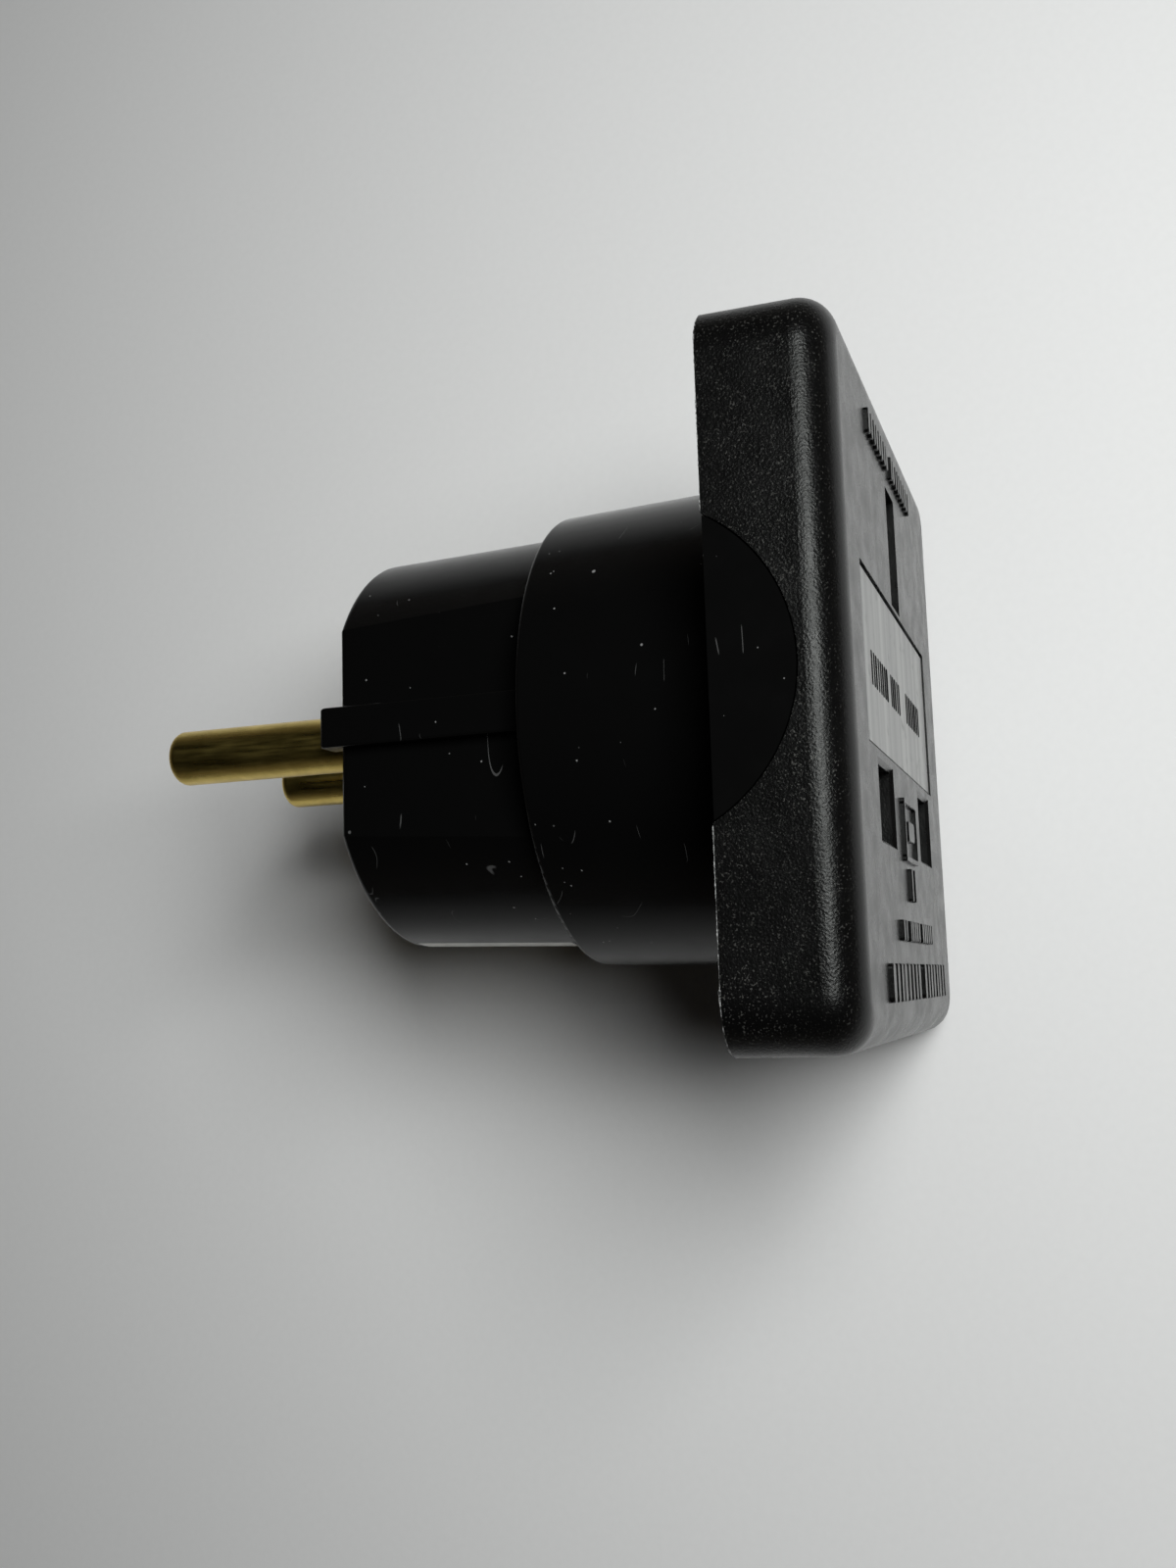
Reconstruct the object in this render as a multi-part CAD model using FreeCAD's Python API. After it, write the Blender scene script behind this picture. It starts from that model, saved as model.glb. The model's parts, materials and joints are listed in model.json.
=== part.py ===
import FreeCAD, Part

import math
import os

# A travel adapter: a British three-slot socket face on a two-pin continental plug.
# Millimetres. The origin is the middle of the socket face, on the plug axis.
# +Y runs from the socket face to the tips of the plug pins, +X points to the earth slot, and
# +Z is up when the adapter lies on one flat side of its square cover.

Vector = FreeCAD.Vector
Y_AXIS = Vector(0, 1, 0)
Z_AXIS = Vector(0, 0, 1)
ORIGIN = Vector(0, 0, 0)
SIDES = (1, -1)
TOUCH = 1e-6

# British socket: pin centres, slot sizes and the pins that go in
EARTH_TO_LINE = 22.23
LINE_TO_NEUTRAL = 22.23
EARTH_X = 13.75
LINE_X = EARTH_X - EARTH_TO_LINE
LINE_Z = LINE_TO_NEUTRAL / 2
EARTH_SLOT = (10.0, 4.7)
LINE_SLOT = (5.6, 7.2)
SLOT_LEAD_IN = 0.3

# Continental plug: two round pins
PIN_SPACING = 19.0
PIN_Z = PIN_SPACING / 2
PIN_R = 2.4
PIN_LENGTH = 19.0
PIN_TIP_R = 0.9
PIN_NECK_R = 2.0
PIN_COLLAR = (32.5, 3.4)
PIN_SHANK_R = 2.8
PIN_THREAD_R = 1.25
PIN_THREAD_DEPTH = 7.5

# Front cover
COVER_HALF = 26.3
COVER_DEPTH = 9.46
COVER_CORNER_R = 4.0
COVER_EDGE_R = 2.8
FACE_THICK = 2.6
SKIRT_WALL = 2.0
COLLAR_WALL = 1.1
COLLAR_END = 4.2
EAR_CENTRE_Y = 15.5
EAR_R = 12.27
EAR_GAP = 0.12
PILLAR_XZ = 19.6
PILLAR_R = 3.0
PILLAR_BORE_R = 1.15
POST_R = 2.1
POST_BORE_R = 0.8
PEG_Z = (8.5, 10.7)
PEG_THICK = 1.8
PEG_GAP = 0.02
STOP_THICK = 1.6
STOP_HALF_Z = 2.2
ROOT = 0.5
LABEL_X = (-4.5, 8.2)
LABEL_Z = (-17.3, 18.2)
LABEL_THICK = 0.2
LABEL_RECESS = 0.35
LABEL_MARGIN = 0.25

# Corner screws, with heads sunk in the flange
SUNK_HEAD_R = 2.5
SUNK_HEAD_DEPTH = 1.4
SUNK_BELOW = 0.05
SUNK_GAP = 0.06
CORNER_SCREW_R = 1.14
CORNER_SCREW_TIP_Y = 3.4
FLANGE_HOLE_R = 1.3

# Rear housing
FLANGE = (7.4, 9.4)
FLANGE_GAP = 0.15
BODY_R = (20.05, 19.37)
STEP_Y = 26.35
BOSS_R = (17.8, 17.25)
BOSS_FACE_Y = 43.53
BOSS_FLAT_Z = 15.0
BODY_BORE_R = 18.1
BODY_FLOOR_Y = 24.6
BOSS_WALL = 2.4
FLAT_WALL = 2.0
BOSS_FLOOR_Y = 39.6
TOWER_R = 4.6
TOWER_START_Y = 34.0
TOWER_MARGIN = 0.8
FIT_GAP = 0.05
REACH = 30.0
RIB_X = 0.25
RIB_WIDTH = 3.3
RIB_TOP_Z = 16.4
RIB_ROOT = 1.0
RIB_PROUD = 1.2
RIB_NOSE_R = 0.6
RIB_EDGE_R = 0.25
STEP_EDGE_R = 0.45
BOSS_EDGE_R = 0.7

# Shutter and what holds it
SHUTTER_Y = (4.4, 5.8)
SHUTTER_TRAVEL = 6.0
WING_X = (-12.0, -5.2)
WING_Z = (7.0, 15.4)
SPINE_HALF = 2.3
RAMP_START_X = 9.4
RAMP_END = (15.6, 9.6)
RAMP_THICK = 2.1
RAMP_HALF = 2.0
BAR_WIDTH = 3.2
RETAINER_Y = (6.0, 7.2)
RETAINER_HALF_X = 21.0
RETAINER_HALF_Z = 16.3
RETAINER_CORNER_R = 3.0
RETAINER_SCREW = (1.8, 11.4)
RETAINER_SCREW_HEAD = (2.0, 1.2)
RETAINER_SCREW_R = 0.79
RETAINER_SCREW_TIP_Y = 3.2
RETAINER_HOLE_R = 1.2
SPRING_R = 1.1
SPRING_WIRE_R = 0.18
SPRING_COILS = 7
SPRING_STOP_X = -21.6
SPRING_Y = 4.6
SPRING_SLACK = 0.01
WINDOW_GAP = 0.2
EARTH_WINDOW_HALF = 2.8

# Live parts
CARRIER_Y = (20.2, 24.6)
CARRIER_R = 17.9
CARRIER_EDGE = 0.4
WALL_Y = (10.6, CARRIER_Y[0] + 1)
WALL_X = (-16.0, 7.5)
WALL_HALF = 0.9
FENCE_X = (6.0, 7.5)
FENCE_HALF = 8.0
REAR_RIB_X = (-14.0, 14.2)
POCKET_GAP_X = 1.2
POCKET_GAP_Z = 0.6
BUSBAR_THICK = 0.8
BUSBAR_X = (-11.88, 3.6)
BUSBAR_Z = (7.2, 13.6)
BUSBAR_CORNER_R = 1.2
TERMINAL_HOLE_R = 1.6
TERMINAL_SCREW_HEAD = (2.6, 1.7)
TERMINAL_SCREW_R = 1.22
TERMINAL_SCREW_REACH = 6.5
WASHER_RADII = (2.9, 1.5)
JAW_THICK = 0.6
JAW_SPRING_THICK = 0.4
JAW_MOUTH_GAP = 4.4
JAW_GRIP_GAP = 3.2
JAW_BASE_GAP = 5.0
JAW_LIP = 2.2
JAW_KNEE = 2.0
CLIP_SLACK = 0.05
SPRING_LINK = (4.0, 2.2)
SPRING_SHARE = 0.6
LINE_JAW_Y = (8.6, CARRIER_Y[0] - BUSBAR_THICK)
LINE_JAW_WIDTH = 5.4
EARTH_JAW_Y = (10.4, 23.8)
EARTH_JAW_WIDTH = 6.0
WASHER_THICK = 0.5
BRIDGE_Y = (27.4, 28.2)
BRIDGE_HALF = 2.6
CLIP_THICK = 0.6
CLIP_HALF = 3.0
CLIP_END_Y = 42.6
CLIP_SINK = 0.02
CLIP_GAP = 0.05
CLIP_FOOT = 1.8
CLIP_BEND_R = 0.45
CLIP_CLEAR_R = 1.9
BRIDGE_X = (-13.4, 14.2)
RIVET_X = 9.5
EARTH_RIVET_X = 13.0
RIVET_HEAD = 0.45
RIVET_HEAD_EDGE = 0.3
RIVET_WELL = (2.3, 1.2)
RIVET_HOLE_R = 1.0
EARTH_RIVET_HOLE_R = 1.25
EARTH_RIVET = (1.2, 1.8)
CLIP_RIVET = (0.95, 1.7)

# Screws, as shares of the head's radius or height and of the shank's radius
CROSS_REACH = 0.62
CROSS_WIDTH = 0.13
CROSS_DEPTH = 0.55
PAN_ROUND = 0.45
POINT_SHARE = 0.2

CORNERS = [(i * PILLAR_XZ, j * PILLAR_XZ) for i in SIDES for j in SIDES]
POSTS = [(RETAINER_SCREW[0], side * RETAINER_SCREW[1]) for side in SIDES]


def box(x, y, z):
    """A block between two corners, each axis given as a (low, high) pair."""
    size = [high - low for low, high in (x, y, z)]
    return Part.makeBox(*size, Vector(x[0], y[0], z[0]))


def moved_box(x, y, z, centre):
    """A block stated from its own centre line, an (x, z) pair."""
    block = box(x, y, z)
    block.translate(Vector(centre[0], 0, centre[1]))
    return block


def on_side(side, inner, outer):
    """The (low, high) pair between two distances from a middle plane, on one side of it."""
    return tuple(sorted((side * inner, side * outer)))


def past(y):
    """A (low, high) pair stretched a little at both ends, for a clean cut right through."""
    return (y[0] - 1, y[1] + 1)


def round_bar(radius, y, x=0.0, z=0.0):
    """A cylinder along Y."""
    return Part.makeCylinder(radius, y[1] - y[0], Vector(x, y[0], z), Y_AXIS)


def cone_bar(radii, y):
    """A tapered round bar along Y, on the plug axis."""
    return Part.makeCone(radii[0], radii[1], y[1] - y[0], Vector(0, y[0], 0), Y_AXIS)


def round_corners(plate, radius):
    """A plate with its edges along Y rounded."""
    corners = [e for e in plate.Edges if abs(e.tangentAt(e.FirstParameter).dot(Y_AXIS)) > 0.99]
    return plate.makeFillet(radius, corners)


def rounded_plate(half_x, half_z, radius, y):
    """A rectangle with round corners, centred on the plug axis and extruded along Y."""
    return round_corners(box((-half_x, half_x), y, (-half_z, half_z)), radius)


def edges_where(shape, test):
    """The edges whose every sample point passes the test."""
    found = []
    for edge in shape.Edges:
        points = edge.discretize(5)
        if all(test(p) for p in points):
            found.append(edge)
    return found


def polygon_prism(points, along, start, length):
    """A flat polygon pushed along one axis. Points are the two other coordinates, in X, Y, Z order."""
    if along == "z":
        corners = [Vector(a, b, start) for a, b in points]
        push = Vector(0, 0, length)
    else:
        corners = [Vector(start, b, a) for a, b in points]
        push = Vector(length, 0, 0)
    return Part.Face(Part.makePolygon(corners + corners[:1])).extrude(push)


def slot_blocks(depth, grow=0.0):
    """The three British slots as blocks from outside the face to a depth."""
    half_e = [side / 2 + grow for side in EARTH_SLOT]
    half_l = [side / 2 + grow for side in LINE_SLOT]
    blocks = [box((EARTH_X - half_e[0], EARTH_X + half_e[0]), depth, (-half_e[1], half_e[1]))]
    for side in SIDES:
        z = side * LINE_Z
        blocks.append(box((LINE_X - half_l[0], LINE_X + half_l[0]), depth, (z - half_l[1], z + half_l[1])))
    return blocks


def screw_shank(x, z, root_y, radius, tip_y, toward):
    """A screw's shank and point along Y; toward is the way the screw is driven."""
    end_y = tip_y - toward * radius
    shank = round_bar(radius, tuple(sorted((root_y, end_y))), x, z)
    point = Part.makeCone(radius, radius * POINT_SHARE, radius, Vector(x, end_y, z), Y_AXIS * toward)
    return [shank, point]


def cross_recess(x, z, top, head, toward):
    """The cross that a screwdriver goes in, from the top of a head given as (radius, height)."""
    arm = head[0] * CROSS_REACH
    wide = head[0] * CROSS_WIDTH
    y = tuple(sorted((top - toward * FIT_GAP, top + toward * head[1] * CROSS_DEPTH)))
    return [box((x - arm, x + arm), y, (z - wide, z + wide)),
            box((x - wide, x + wide), y, (z - arm, z + arm))]


def pan_screw(x, z, seat_y, head, shank_r, tip_y, toward):
    """A pan-head screw along Y with a cross recess; head is its (radius, height)."""
    head_r, head_h = head
    top = seat_y - toward * head_h
    cap = round_bar(head_r, tuple(sorted((seat_y, top))), x, z)
    cap = cap.makeFillet(head_h * PAN_ROUND, edges_where(cap, lambda p: abs(p.y - top) < TOUCH))
    screw = cap.fuse(screw_shank(x, z, seat_y, shank_r, tip_y, toward))
    return screw.cut(cross_recess(x, z, top, head, toward)).removeSplitter()


def ear_disc(radius, z):
    """The round of an ear or of its cut-out, between two heights."""
    return Part.makeCylinder(radius, z[1] - z[0], Vector(0, EAR_CENTRE_Y, z[0]), Z_AXIS)


def front_cover():
    """The square socket face with its skirt, slots, collars, pillars and label recess."""
    outer = rounded_plate(COVER_HALF, COVER_HALF, COVER_CORNER_R, (0, COVER_DEPTH))
    outer = outer.makeFillet(COVER_EDGE_R, edges_where(outer, lambda p: abs(p.y) < TOUCH))
    inner_half = COVER_HALF - SKIRT_WALL
    inner_r = COVER_CORNER_R - SKIRT_WALL
    inside = rounded_plate(inner_half, inner_half, inner_r, (FACE_THICK, COVER_DEPTH + 1))
    cover = outer.cut(inside)
    root_y = FACE_THICK - ROOT
    collars = slot_blocks((root_y, COLLAR_END), COLLAR_WALL)
    pillars = [round_bar(PILLAR_R, (root_y, FLANGE[0]), x, z) for x, z in CORNERS]
    posts = [round_bar(POST_R, (root_y, RETAINER_Y[0]), x, z) for x, z in POSTS]
    stop_x = (SPRING_STOP_X - STOP_THICK, SPRING_STOP_X)
    stop = box(stop_x, (root_y, SHUTTER_Y[1]), (-STOP_HALF_Z, STOP_HALF_Z))
    peg_x = (WING_X[1] + PEG_GAP, WING_X[1] + PEG_THICK)
    pegs = [box(peg_x, (root_y, SHUTTER_Y[1] - ROOT), on_side(side, *PEG_Z)) for side in SIDES]
    cover = cover.fuse(collars + pillars + posts + pegs + [stop])
    cuts = slot_blocks((-1, COLLAR_END + 1))
    cuts += [round_bar(PILLAR_BORE_R, (FACE_THICK, FLANGE[0] + 1), x, z) for x, z in CORNERS]
    cuts += [round_bar(POST_BORE_R, (FACE_THICK, RETAINER_Y[0] + 1), x, z) for x, z in POSTS]
    cuts += [ear_disc(EAR_R, on_side(side, inner_half - 1, COVER_HALF + 1)) for side in SIDES]
    recess_x = (LABEL_X[0] - LABEL_MARGIN, LABEL_X[1] + LABEL_MARGIN)
    recess_z = (LABEL_Z[0] - LABEL_MARGIN, LABEL_Z[1] + LABEL_MARGIN)
    cuts.append(box(recess_x, (-1, LABEL_RECESS), recess_z))
    cover = cover.cut(cuts)
    mouths = edges_where(cover, lambda p: abs(p.y) < TOUCH and on_slot_outline(p))
    return cover.makeChamfer(SLOT_LEAD_IN, mouths).removeSplitter()


def on_slot_outline(p):
    """Whether a point of the face lies on the outline of a line or neutral slot."""
    dx = abs(abs(p.x - LINE_X) - LINE_SLOT[0] / 2)
    dz = abs(abs(abs(p.z) - LINE_Z) - LINE_SLOT[1] / 2)
    inside_x = abs(p.x - LINE_X) < LINE_SLOT[0] / 2 + TOUCH
    inside_z = abs(abs(p.z) - LINE_Z) < LINE_SLOT[1] / 2 + TOUCH
    return inside_x and inside_z and min(dx, dz) < TOUCH


def boss_solid(radii, flat_z, y):
    """The round plug boss with its two side flats."""
    return cone_bar(radii, y).common(box((-REACH, REACH), past(y), (-flat_z, flat_z)))


def guide_rib(side):
    """The raised rib along one flat of the boss, which runs past the boss's face."""
    x = (RIB_X - RIB_WIDTH / 2, RIB_X + RIB_WIDTH / 2)
    y = (STEP_Y - ROOT, BOSS_FACE_Y + RIB_PROUD)
    rib = box(x, y, on_side(side, BOSS_FLAT_Z - RIB_ROOT, RIB_TOP_Z))

    def on_top(p):
        return abs(abs(p.z) - RIB_TOP_Z) < TOUCH

    nose = edges_where(rib, lambda p: on_top(p) and abs(p.y - y[1]) < TOUCH)
    rib = rib.makeFillet(RIB_NOSE_R, nose)
    sides = [e for e in edges_where(rib, on_top) if e.Length > RIB_WIDTH * 2]
    return rib.makeFillet(RIB_EDGE_R, sides)


def clip_channel(side):
    """The room in the boss for one earth strip: a groove outside and a slot through the wall."""
    half = CLIP_HALF + CLIP_GAP
    groove = side_strip(side, -1.0, CLIP_THICK + CLIP_GAP, half, (BRIDGE_Y[1], CLIP_END_Y + CLIP_GAP))
    slot_y = (BRIDGE_Y[1], BRIDGE_Y[1] + CLIP_THICK + CLIP_GAP)
    slot = box(on_side(side, BOSS_R[0] / 2, BOSS_R[0] - CLIP_THICK), slot_y, (-half, half))
    return groove.fuse(slot)


def boss_radius(y):
    """The boss's radius at a depth, along its taper."""
    share = (y - STEP_Y) / (BOSS_FACE_Y - STEP_Y)
    return BOSS_R[0] + (BOSS_R[1] - BOSS_R[0]) * share


def side_strip(side, sink, floor, half_width, y):
    """A strip curved to the boss's tapered side, between two distances below its surface."""
    outer = cone_bar([boss_radius(depth) - sink for depth in y], y)
    inner = cone_bar([boss_radius(depth) - floor for depth in y], y)
    return outer.cut(inner).common(box(on_side(side, 0, REACH), past(y), (-half_width, half_width)))


def rear_housing():
    """The round body, the plug boss, the base flange and the two ears, as one hollow moulding."""
    flange_half = COVER_HALF - SKIRT_WALL - FLANGE_GAP
    flange = rounded_plate(flange_half, flange_half, COVER_CORNER_R - SKIRT_WALL, FLANGE)
    body = cone_bar(BODY_R, (FLANGE[1] - ROOT, STEP_Y))
    body = body.makeFillet(STEP_EDGE_R, edges_where(body, lambda p: abs(p.y - STEP_Y) < TOUCH))
    boss_root_y = STEP_Y - 1
    boss = boss_solid((boss_radius(boss_root_y), BOSS_R[1]), BOSS_FLAT_Z, (boss_root_y, BOSS_FACE_Y))
    boss = boss.makeFillet(BOSS_EDGE_R, edges_where(boss, lambda p: abs(p.y - BOSS_FACE_Y) < TOUCH))
    ears = []
    wide = (-REACH, REACH)
    for side in SIDES:
        ear = ear_disc(EAR_R - EAR_GAP, on_side(side, flange_half, COVER_HALF - FIT_GAP))
        ears.append(ear.common(box(wide, (0, FLANGE[1]), wide)))
        foot = ear_disc(EAR_R - EAR_GAP, on_side(side, BODY_R[0] - 1, COVER_HALF - FIT_GAP))
        ears.append(foot.common(box(wide, FLANGE, wide)))
    shell = flange.fuse([body, boss] + ears)
    hollow = round_bar(BODY_BORE_R, (0, BODY_FLOOR_Y))
    inner_r = [r - BOSS_WALL for r in BOSS_R]
    boss_hollow = boss_solid(inner_r, BOSS_FLAT_Z - FLAT_WALL, (BODY_FLOOR_Y - 1, BOSS_FLOOR_Y))
    inset_r = [r - TOWER_MARGIN for r in BOSS_R]
    bounds = boss_solid(inset_r, BOSS_FLAT_Z - TOWER_MARGIN, (BODY_FLOOR_Y, BOSS_FACE_Y - ROOT))
    tower_y = (TOWER_START_Y, BOSS_FLOOR_Y + ROOT)
    towers = [round_bar(TOWER_R, tower_y, 0, side * PIN_Z).common(bounds) for side in SIDES]
    shell = shell.cut([hollow, boss_hollow])
    shell = shell.fuse(towers + [guide_rib(side) for side in SIDES])
    neck_y = past((TOWER_START_Y, BOSS_FACE_Y))
    cuts = [round_bar(PIN_NECK_R + FIT_GAP, neck_y, 0, side * PIN_Z) for side in SIDES]
    cuts += [round_bar(FLANGE_HOLE_R, past(FLANGE), x, z) for x, z in CORNERS]
    cuts += [sunk_cone(x, z, SUNK_GAP) for x, z in CORNERS]
    shell = shell.cut(cuts + [clip_channel(side) for side in SIDES])
    return shell.removeSplitter()


def rating_label():
    """The thin foil label in its recess."""
    seat = LABEL_RECESS - LABEL_THICK
    return box(LABEL_X, (seat, LABEL_RECESS), LABEL_Z)


def plug_pin(side):
    """A turned brass pin: outer pin, neck in the tower, collar behind it, threaded shank."""
    z = side * PIN_Z
    tip_y = BOSS_FACE_Y + PIN_LENGTH
    collar_y, collar_r = PIN_COLLAR
    pin = round_bar(PIN_R, (BOSS_FACE_Y, tip_y), 0, z)
    pin = pin.makeFillet(PIN_TIP_R, edges_where(pin, lambda p: abs(p.y - tip_y) < TOUCH))
    neck = round_bar(PIN_NECK_R, (collar_y, BOSS_FACE_Y + ROOT), 0, z)
    collar = round_bar(collar_r, (collar_y, TOWER_START_Y), 0, z)
    shank = round_bar(PIN_SHANK_R, (CARRIER_Y[1], collar_y), 0, z)
    thread = round_bar(PIN_THREAD_R, (CARRIER_Y[1] - 1, CARRIER_Y[1] + PIN_THREAD_DEPTH), 0, z)
    return pin.fuse([neck, collar, shank]).cut(thread).removeSplitter()


def jaw_outline(y, thick, outside=0.0):
    """Half of a contact jaw, seen from its edge: mouth, grip and base, as (gap side, depth) points."""
    mouth, base = y
    grip = mouth + JAW_LIP
    knee = grip + JAW_KNEE
    seat = base - thick
    gaps = [JAW_MOUTH_GAP / 2, JAW_GRIP_GAP / 2, JAW_BASE_GAP / 2, JAW_BASE_GAP / 2]
    line = list(zip(gaps, (mouth, grip, knee, seat)))
    inner = [(gap + outside, depth) for gap, depth in line]
    outer = [(gap + outside + thick, depth) for gap, depth in line]
    return inner, outer


def contact_jaw(y, width, centre, across):
    """A folded jaw: two sprung leaves on one base, made from strip of one thickness."""
    inner, outer = jaw_outline(y, JAW_THICK)
    base = y[1]
    half = outer + [(outer[-1][0], base), (0, base), (0, base - JAW_THICK)] + inner[::-1]
    return mirrored_profile(half, width, centre, across)


def jaw_spring(y, width, centre, across):
    """A steel clip that hugs the jaw's leaves from outside, up to the grip."""
    inner, outer = jaw_outline(y, JAW_SPRING_THICK, JAW_THICK + CLIP_SLACK)
    link_y = tuple(y[1] - back for back in SPRING_LINK)
    half = [(gap, min(depth, link_y[1])) for gap, depth in outer[1:] + inner[:0:-1]]
    leaves = mirrored_profile(half, width * SPRING_SHARE, centre, across, joined=False)
    reach = outer[-1][0]
    near = width / 2 + CLIP_SLACK
    far = near + JAW_SPRING_THICK
    leaf = (reach - JAW_SPRING_THICK, reach)
    if across == "x":
        inward = -math.copysign(1, centre[1])
        link = moved_box((-reach, reach), link_y, on_side(inward, near, far), centre)
        straps = [moved_box(on_side(s, *leaf), link_y, on_side(inward, 0, far), centre) for s in SIDES]
    else:
        link = moved_box((-far, -near), link_y, (-reach, reach), centre)
        straps = [moved_box((-far, 0), link_y, on_side(s, *leaf), centre) for s in SIDES]
    return leaves[0].fuse([leaves[1], link] + straps).removeSplitter()


def mirrored_profile(half, width, centre, across, joined=True):
    """Both halves of a symmetrical strip profile, extruded to its width about a centre (x, z)."""
    solids = []
    for side in SIDES:
        if across == "x":
            points = [(centre[0] + side * gap, depth) for gap, depth in half]
            solids.append(polygon_prism(points, "z", centre[1] - width / 2, width))
        else:
            points = [(centre[1] + side * gap, depth) for gap, depth in half]
            solids.append(polygon_prism(points, "x", centre[0] - width / 2, width))
    if not joined:
        return solids
    return solids[0].fuse(solids[1]).removeSplitter()


def line_contact(side):
    return contact_jaw(LINE_JAW_Y, LINE_JAW_WIDTH, (LINE_X, side * LINE_Z), "x")


def line_jaw_spring(side):
    return jaw_spring(LINE_JAW_Y, LINE_JAW_WIDTH, (LINE_X, side * LINE_Z), "x")


def earth_contact():
    jaw = contact_jaw(EARTH_JAW_Y, EARTH_JAW_WIDTH, (EARTH_X, 0), "z")
    base_y = (EARTH_JAW_Y[1] - JAW_THICK, EARTH_JAW_Y[1])
    return jaw.cut(round_bar(EARTH_RIVET_HOLE_R, past(base_y), EARTH_RIVET_X, 0))


def earth_jaw_spring():
    return jaw_spring(EARTH_JAW_Y, EARTH_JAW_WIDTH, (EARTH_X, 0), "z")


def busbar(side):
    """The plate under one jaw that runs to the end of its plug pin."""
    y = (CARRIER_Y[0] - BUSBAR_THICK, CARRIER_Y[0])
    plate = round_corners(box(BUSBAR_X, y, on_side(side, *BUSBAR_Z)), BUSBAR_CORNER_R)
    return plate.cut(round_bar(TERMINAL_HOLE_R, past(y), 0, side * PIN_Z))


def terminal_screw(side):
    seat = CARRIER_Y[0] - BUSBAR_THICK - WASHER_THICK
    tip = CARRIER_Y[1] + TERMINAL_SCREW_REACH
    return pan_screw(0, side * PIN_Z, seat, TERMINAL_SCREW_HEAD, TERMINAL_SCREW_R, tip, 1)


def terminal_washer(side):
    y = (CARRIER_Y[0] - BUSBAR_THICK - WASHER_THICK, CARRIER_Y[0] - BUSBAR_THICK)
    z = side * PIN_Z
    outer_r, inner_r = WASHER_RADII
    return round_bar(outer_r, y, 0, z).cut(round_bar(inner_r, past(y), 0, z))


def contact_carrier():
    """The insulating disc with its barrier wall, earth pocket and rear rib."""
    disc = round_bar(CARRIER_R, CARRIER_Y)
    front = edges_where(disc, lambda p: abs(p.y - CARRIER_Y[0]) < TOUCH)
    disc = disc.makeChamfer(CARRIER_EDGE, front)
    wall = box(WALL_X, WALL_Y, (-WALL_HALF, WALL_HALF))
    fence = box(FENCE_X, WALL_Y, (-FENCE_HALF, FENCE_HALF))
    rib = box(REAR_RIB_X, (CARRIER_Y[1] - 1, BRIDGE_Y[0]), (-BRIDGE_HALF, BRIDGE_HALF))
    carrier = disc.fuse([wall, fence, rib])
    pocket_x = (EARTH_X - EARTH_JAW_WIDTH / 2 - POCKET_GAP_X, CARRIER_R + 1)
    pocket_half = JAW_BASE_GAP / 2 + JAW_THICK + POCKET_GAP_Z
    cuts = [box(pocket_x, (CARRIER_Y[0] - 1, EARTH_JAW_Y[1]), (-pocket_half, pocket_half))]
    cuts += [round_bar(TERMINAL_HOLE_R, past(CARRIER_Y), 0, side * PIN_Z) for side in SIDES]
    cuts.append(round_bar(EARTH_RIVET_HOLE_R, past((CARRIER_Y[0], BRIDGE_Y[0])), EARTH_RIVET_X, 0))
    well_r, well_depth = RIVET_WELL
    well_y = (BRIDGE_Y[0] - well_depth, BRIDGE_Y[0] + 1)
    cuts += [round_bar(well_r, well_y, side * RIVET_X, 0) for side in SIDES]
    return carrier.cut(cuts).removeSplitter()


def earth_bridge():
    """The strip that joins the earth jaw to both side strips."""
    strip = box(BRIDGE_X, BRIDGE_Y, (-BRIDGE_HALF, BRIDGE_HALF))
    holes = [round_bar(RIVET_HOLE_R, past(BRIDGE_Y), side * RIVET_X) for side in SIDES]
    return strip.cut(holes + [round_bar(EARTH_RIVET_HOLE_R, past(BRIDGE_Y), EARTH_RIVET_X)])


def earth_clip(side):
    """A plated side strip, bent inward over the bridge at one end."""
    outer = side_strip(side, CLIP_SINK, CLIP_THICK, CLIP_HALF, (BRIDGE_Y[1], CLIP_END_Y))
    foot_y = (BRIDGE_Y[1], BRIDGE_Y[1] + CLIP_THICK)
    foot = box(on_side(side, RIVET_X - CLIP_FOOT, REACH), foot_y, (-CLIP_HALF, CLIP_HALF))
    foot = foot.common(cone_bar([boss_radius(depth) - CLIP_SINK for depth in foot_y], foot_y))
    if side > 0:
        foot = foot.cut(round_bar(CLIP_CLEAR_R, past(foot_y), EARTH_RIVET_X))
    clip = outer.fuse(foot).removeSplitter()
    reach = boss_radius(foot_y[0]) - CLIP_SINK

    def on_bend(p):
        return abs(p.y - foot_y[0]) < TOUCH and abs(math.hypot(p.x, p.z) - reach) < TOUCH

    clip = clip.makeFillet(CLIP_BEND_R, edges_where(clip, on_bend))
    return clip.cut(round_bar(RIVET_HOLE_R, past(foot_y), side * RIVET_X))


def rivet(x, y, radii):
    """A rivet along Y with a domed head at each end of its grip; radii are shank and head."""
    body = round_bar(radii[0], y, x)
    heads = []
    for at, way in zip(y, (-1, 1)):
        far = at + way * RIVET_HEAD
        head = round_bar(radii[1], tuple(sorted((at, far))), x)
        rim = edges_where(head, lambda p, far=far: abs(p.y - far) < TOUCH)
        heads.append(head.makeFillet(RIVET_HEAD_EDGE, rim))
    return body.fuse(heads).removeSplitter()


def earth_rivets():
    rivets = [rivet(EARTH_RIVET_X, (EARTH_JAW_Y[1] - JAW_THICK, BRIDGE_Y[1]), EARTH_RIVET)]
    grip = (BRIDGE_Y[0], BRIDGE_Y[1] + CLIP_THICK)
    return rivets + [rivet(side * RIVET_X, grip, CLIP_RIVET) for side in SIDES]


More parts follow.
